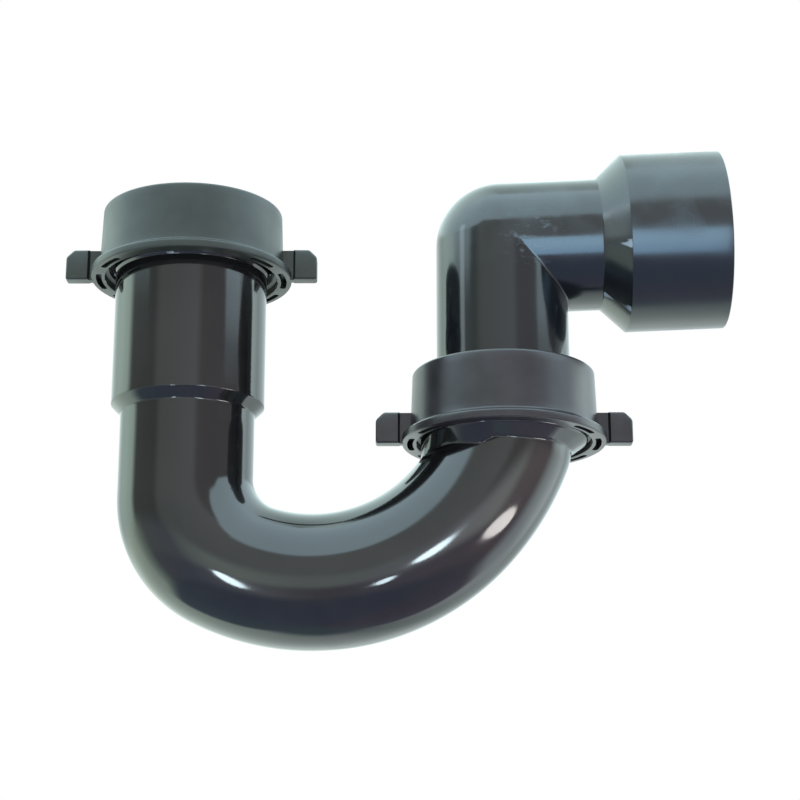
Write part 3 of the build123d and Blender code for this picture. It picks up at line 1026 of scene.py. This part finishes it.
NADIR = [  # the dark floor straight below
    (-150, (0.09, 0.13, 0.15)),
    (-60, (0.08, 0.10, 0.15)),
    (40, (0.08, 0.09, 0.14)),
    (75, (0.10, 0.09, 0.13)),
    (120, (0.11, 0.10, 0.14)),
    (150, (0.09, 0.12, 0.15)),
]


def around(tree, azimuth, stops):
    """A colour ramp round the object from (degrees, colour) stops."""
    ramp = tree.nodes.new("ShaderNodeValToRGB")
    elements = ramp.color_ramp.elements
    places = [((degrees + 180) / 360, (*colour, 1)) for degrees, colour in stops]
    elements[0].position, elements[0].color = places[0]
    elements[1].position, elements[1].color = places[-1]
    for position, colour in places[1:-1]:
        elements.new(position).color = colour
    tree.links.new(azimuth, ramp.inputs[0])
    return ramp.outputs[0]


def band(tree, angle, low, high):
    """0 below the low angle and 1 above the high one, with a soft step between. The angle and
    either limit may be an output in radians; a limit that is a number is in degrees."""
    node = tree.nodes.new("ShaderNodeMapRange")
    node.interpolation_type = "SMOOTHSTEP"
    tree.links.new(angle, node.inputs["Value"])
    for name, limit in (("From Min", low), ("From Max", high)):
        is_output = isinstance(limit, bpy.types.NodeSocket)
        feed(tree, node.inputs[name], limit if is_output else math.radians(limit))
    return node.outputs["Result"]


def room(tree):
    """The room's colour in bands of elevation, each of them a ramp round the object."""
    place = tree.nodes.new("ShaderNodeTexCoord")
    split = tree.nodes.new("ShaderNodeSeparateXYZ")
    tree.links.new(place.outputs["Generated"], split.inputs[0])
    # azimuth 0 is behind the camera and positive to the right; the ramps want 0..1
    forward = math_node(tree, "MULTIPLY", split.outputs["Y"], -1.0)
    turn = math_node(tree, "ARCTAN2", split.outputs["X"], forward)
    azimuth = math_node(tree, "MULTIPLY", math_node(tree, "ADD", turn, math.pi), 1 / TAU)
    elevation = math_node(tree, "ARCSINE", split.outputs["Z"])
    # a ramp holds 0..1, so the edge goes through it as a share of 90 degrees
    shares_up = [(degrees, (height / 90,) * 3) for degrees, height in SKY_EDGE]
    sky_edge = math_node(tree, "MULTIPLY", around(tree, azimuth, shares_up), math.pi / 2)
    sky_top = math_node(tree, "ADD", sky_edge, math.radians(SKY_SOFTNESS))
    behind = band(tree, math_node(tree, "ABSOLUTE", turn), *BEHIND)
    drop = math_node(tree, "MULTIPLY", behind, math.radians(-LOWER_DROP))
    lower_edge = math_node(tree, "ADD", drop, math.radians(LOWER_START))
    lower_top = math_node(tree, "ADD", lower_edge, math.radians(LOWER_SOFTNESS))
    colour = around(tree, azimuth, NADIR)
    for stops, low, high in (
        (LOWER, lower_edge, lower_top),
        (LOW, *LOW_EDGE),
        (LEVEL, *LEVEL_EDGE),
        (SKY, sky_edge, sky_top),
    ):
        share = band(tree, elevation, low, high)
        colour = blend(tree, share, colour, around(tree, azimuth, stops))
    return colour


def studio():
    """The room for the gloss to mirror, its softer copy as the light, and plain white for the
    camera."""
    world = bpy.data.worlds.new("studio")
    world.use_nodes = True
    tree = world.node_tree
    tree.nodes.clear()
    colour = room(tree)
    path = tree.nodes.new("ShaderNodeLightPath")
    seen = tree.nodes.new("ShaderNodeBackground")
    seen.inputs["Color"].default_value = (1, 1, 1, 1)
    mirrored = tree.nodes.new("ShaderNodeBackground")
    mirrored.inputs["Strength"].default_value = SURROUND
    tree.links.new(colour, mirrored.inputs["Color"])
    lighting = tree.nodes.new("ShaderNodeBackground")
    lighting.inputs["Strength"].default_value = LIGHT_SHARE * SURROUND
    tree.links.new(colour, lighting.inputs["Color"])
    gloss_mix = tree.nodes.new("ShaderNodeMixShader")
    tree.links.new(path.outputs["Is Glossy Ray"], gloss_mix.inputs[0])
    tree.links.new(lighting.outputs[0], gloss_mix.inputs[1])
    tree.links.new(mirrored.outputs[0], gloss_mix.inputs[2])
    camera_mix = tree.nodes.new("ShaderNodeMixShader")
    tree.links.new(path.outputs["Is Camera Ray"], camera_mix.inputs[0])
    tree.links.new(gloss_mix.outputs[0], camera_mix.inputs[1])
    tree.links.new(seen.outputs[0], camera_mix.inputs[2])
    out = tree.nodes.new("ShaderNodeOutputWorld")
    tree.links.new(camera_mix.outputs[0], out.inputs[0])
    bpy.context.scene.world = world


# ------------------------------------------------------------------ lamps and floor, in metres
COOL = (0.75, 0.92, 1.0)
WARM = (1.0, 0.97, 0.94)
BLUE = (0.46, 0.86, 1.25)
LAMP_DISTANCE = 0.47
NEAR_LAMP_DISTANCE = 0.2
FRONT_Y = -20  # mm: the depth of the spots that lamps aim at
FLOOR_HALF = 3.0
FLOOR_DROP = 1.0  # below the object


def softbox(
    name, spot, azimuth, elevation, width, height, radiance, colour, lit,
    shape="ELLIPSE", distance=LAMP_DISTANCE,
):
    """A small area lamp for one moulding, aimed at a spot of it (x, z in mm) and as bright as
    radiance says."""
    lamp = bpy.data.lights.new(name, "AREA")
    lamp.shape = shape
    lamp.size = width
    lamp.size_y = height
    area = width * height * (math.pi / 4 if shape == "ELLIPSE" else 1)
    lamp.energy = radiance * math.pi * area
    lamp.color = colour
    piece = placed(name, lamp)
    way = way_to(azimuth, elevation)
    piece.location = Vector((spot[0], FRONT_Y, spot[1])) * MM + way * distance
    piece.rotation_euler = way.to_track_quat("Z", "Y").to_euler()
    piece.visible_camera = False
    only = bpy.data.collections.new(name + "_only")
    only.objects.link(lit)
    piece.light_linking.receiver_collection = only


def floor():
    """A pale floor well below the hanging object, left out of the gloss."""
    half = FLOOR_HALF
    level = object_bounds()[0].z - FLOOR_DROP
    mesh = bpy.data.meshes.new("floor")
    corners = [(x * half, y * half, level) for x, y in ((-1, -1), (1, -1), (1, 1), (-1, 1))]
    mesh.from_pydata(corners, [], [(0, 1, 2, 3)])
    piece = placed("floor", mesh)
    paint(piece, material("floor_paint", floor_paint))
    piece.visible_glossy = False
    piece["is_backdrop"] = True


studio()
softbox("left_lamp", (-154, -116), -21.5, -27, 0.05, 0.115, 26, COOL, bend)
softbox("right_lamp", (-92, -106), 19, -14, 0.085, 0.085, 26, COOL, bend)
softbox("low_lamp", (-107, -116), 14, -27, 0.04, 0.057, 22, COOL, bend)
softbox("side_lamp", (-73.5, -97.5), 66, -25, 0.21, 0.09, 14, WARM, bend)
softbox("strip_lamp", (-86, -45), -76, 19, 0.07, 0.25, 2.4, COOL, elbow, "RECTANGLE")
softbox(
    "blue_lamp", (-34, 3), 8, -21, 0.12, 0.11, 5.4, BLUE, elbow, "RECTANGLE", NEAR_LAMP_DISTANCE
)
floor()
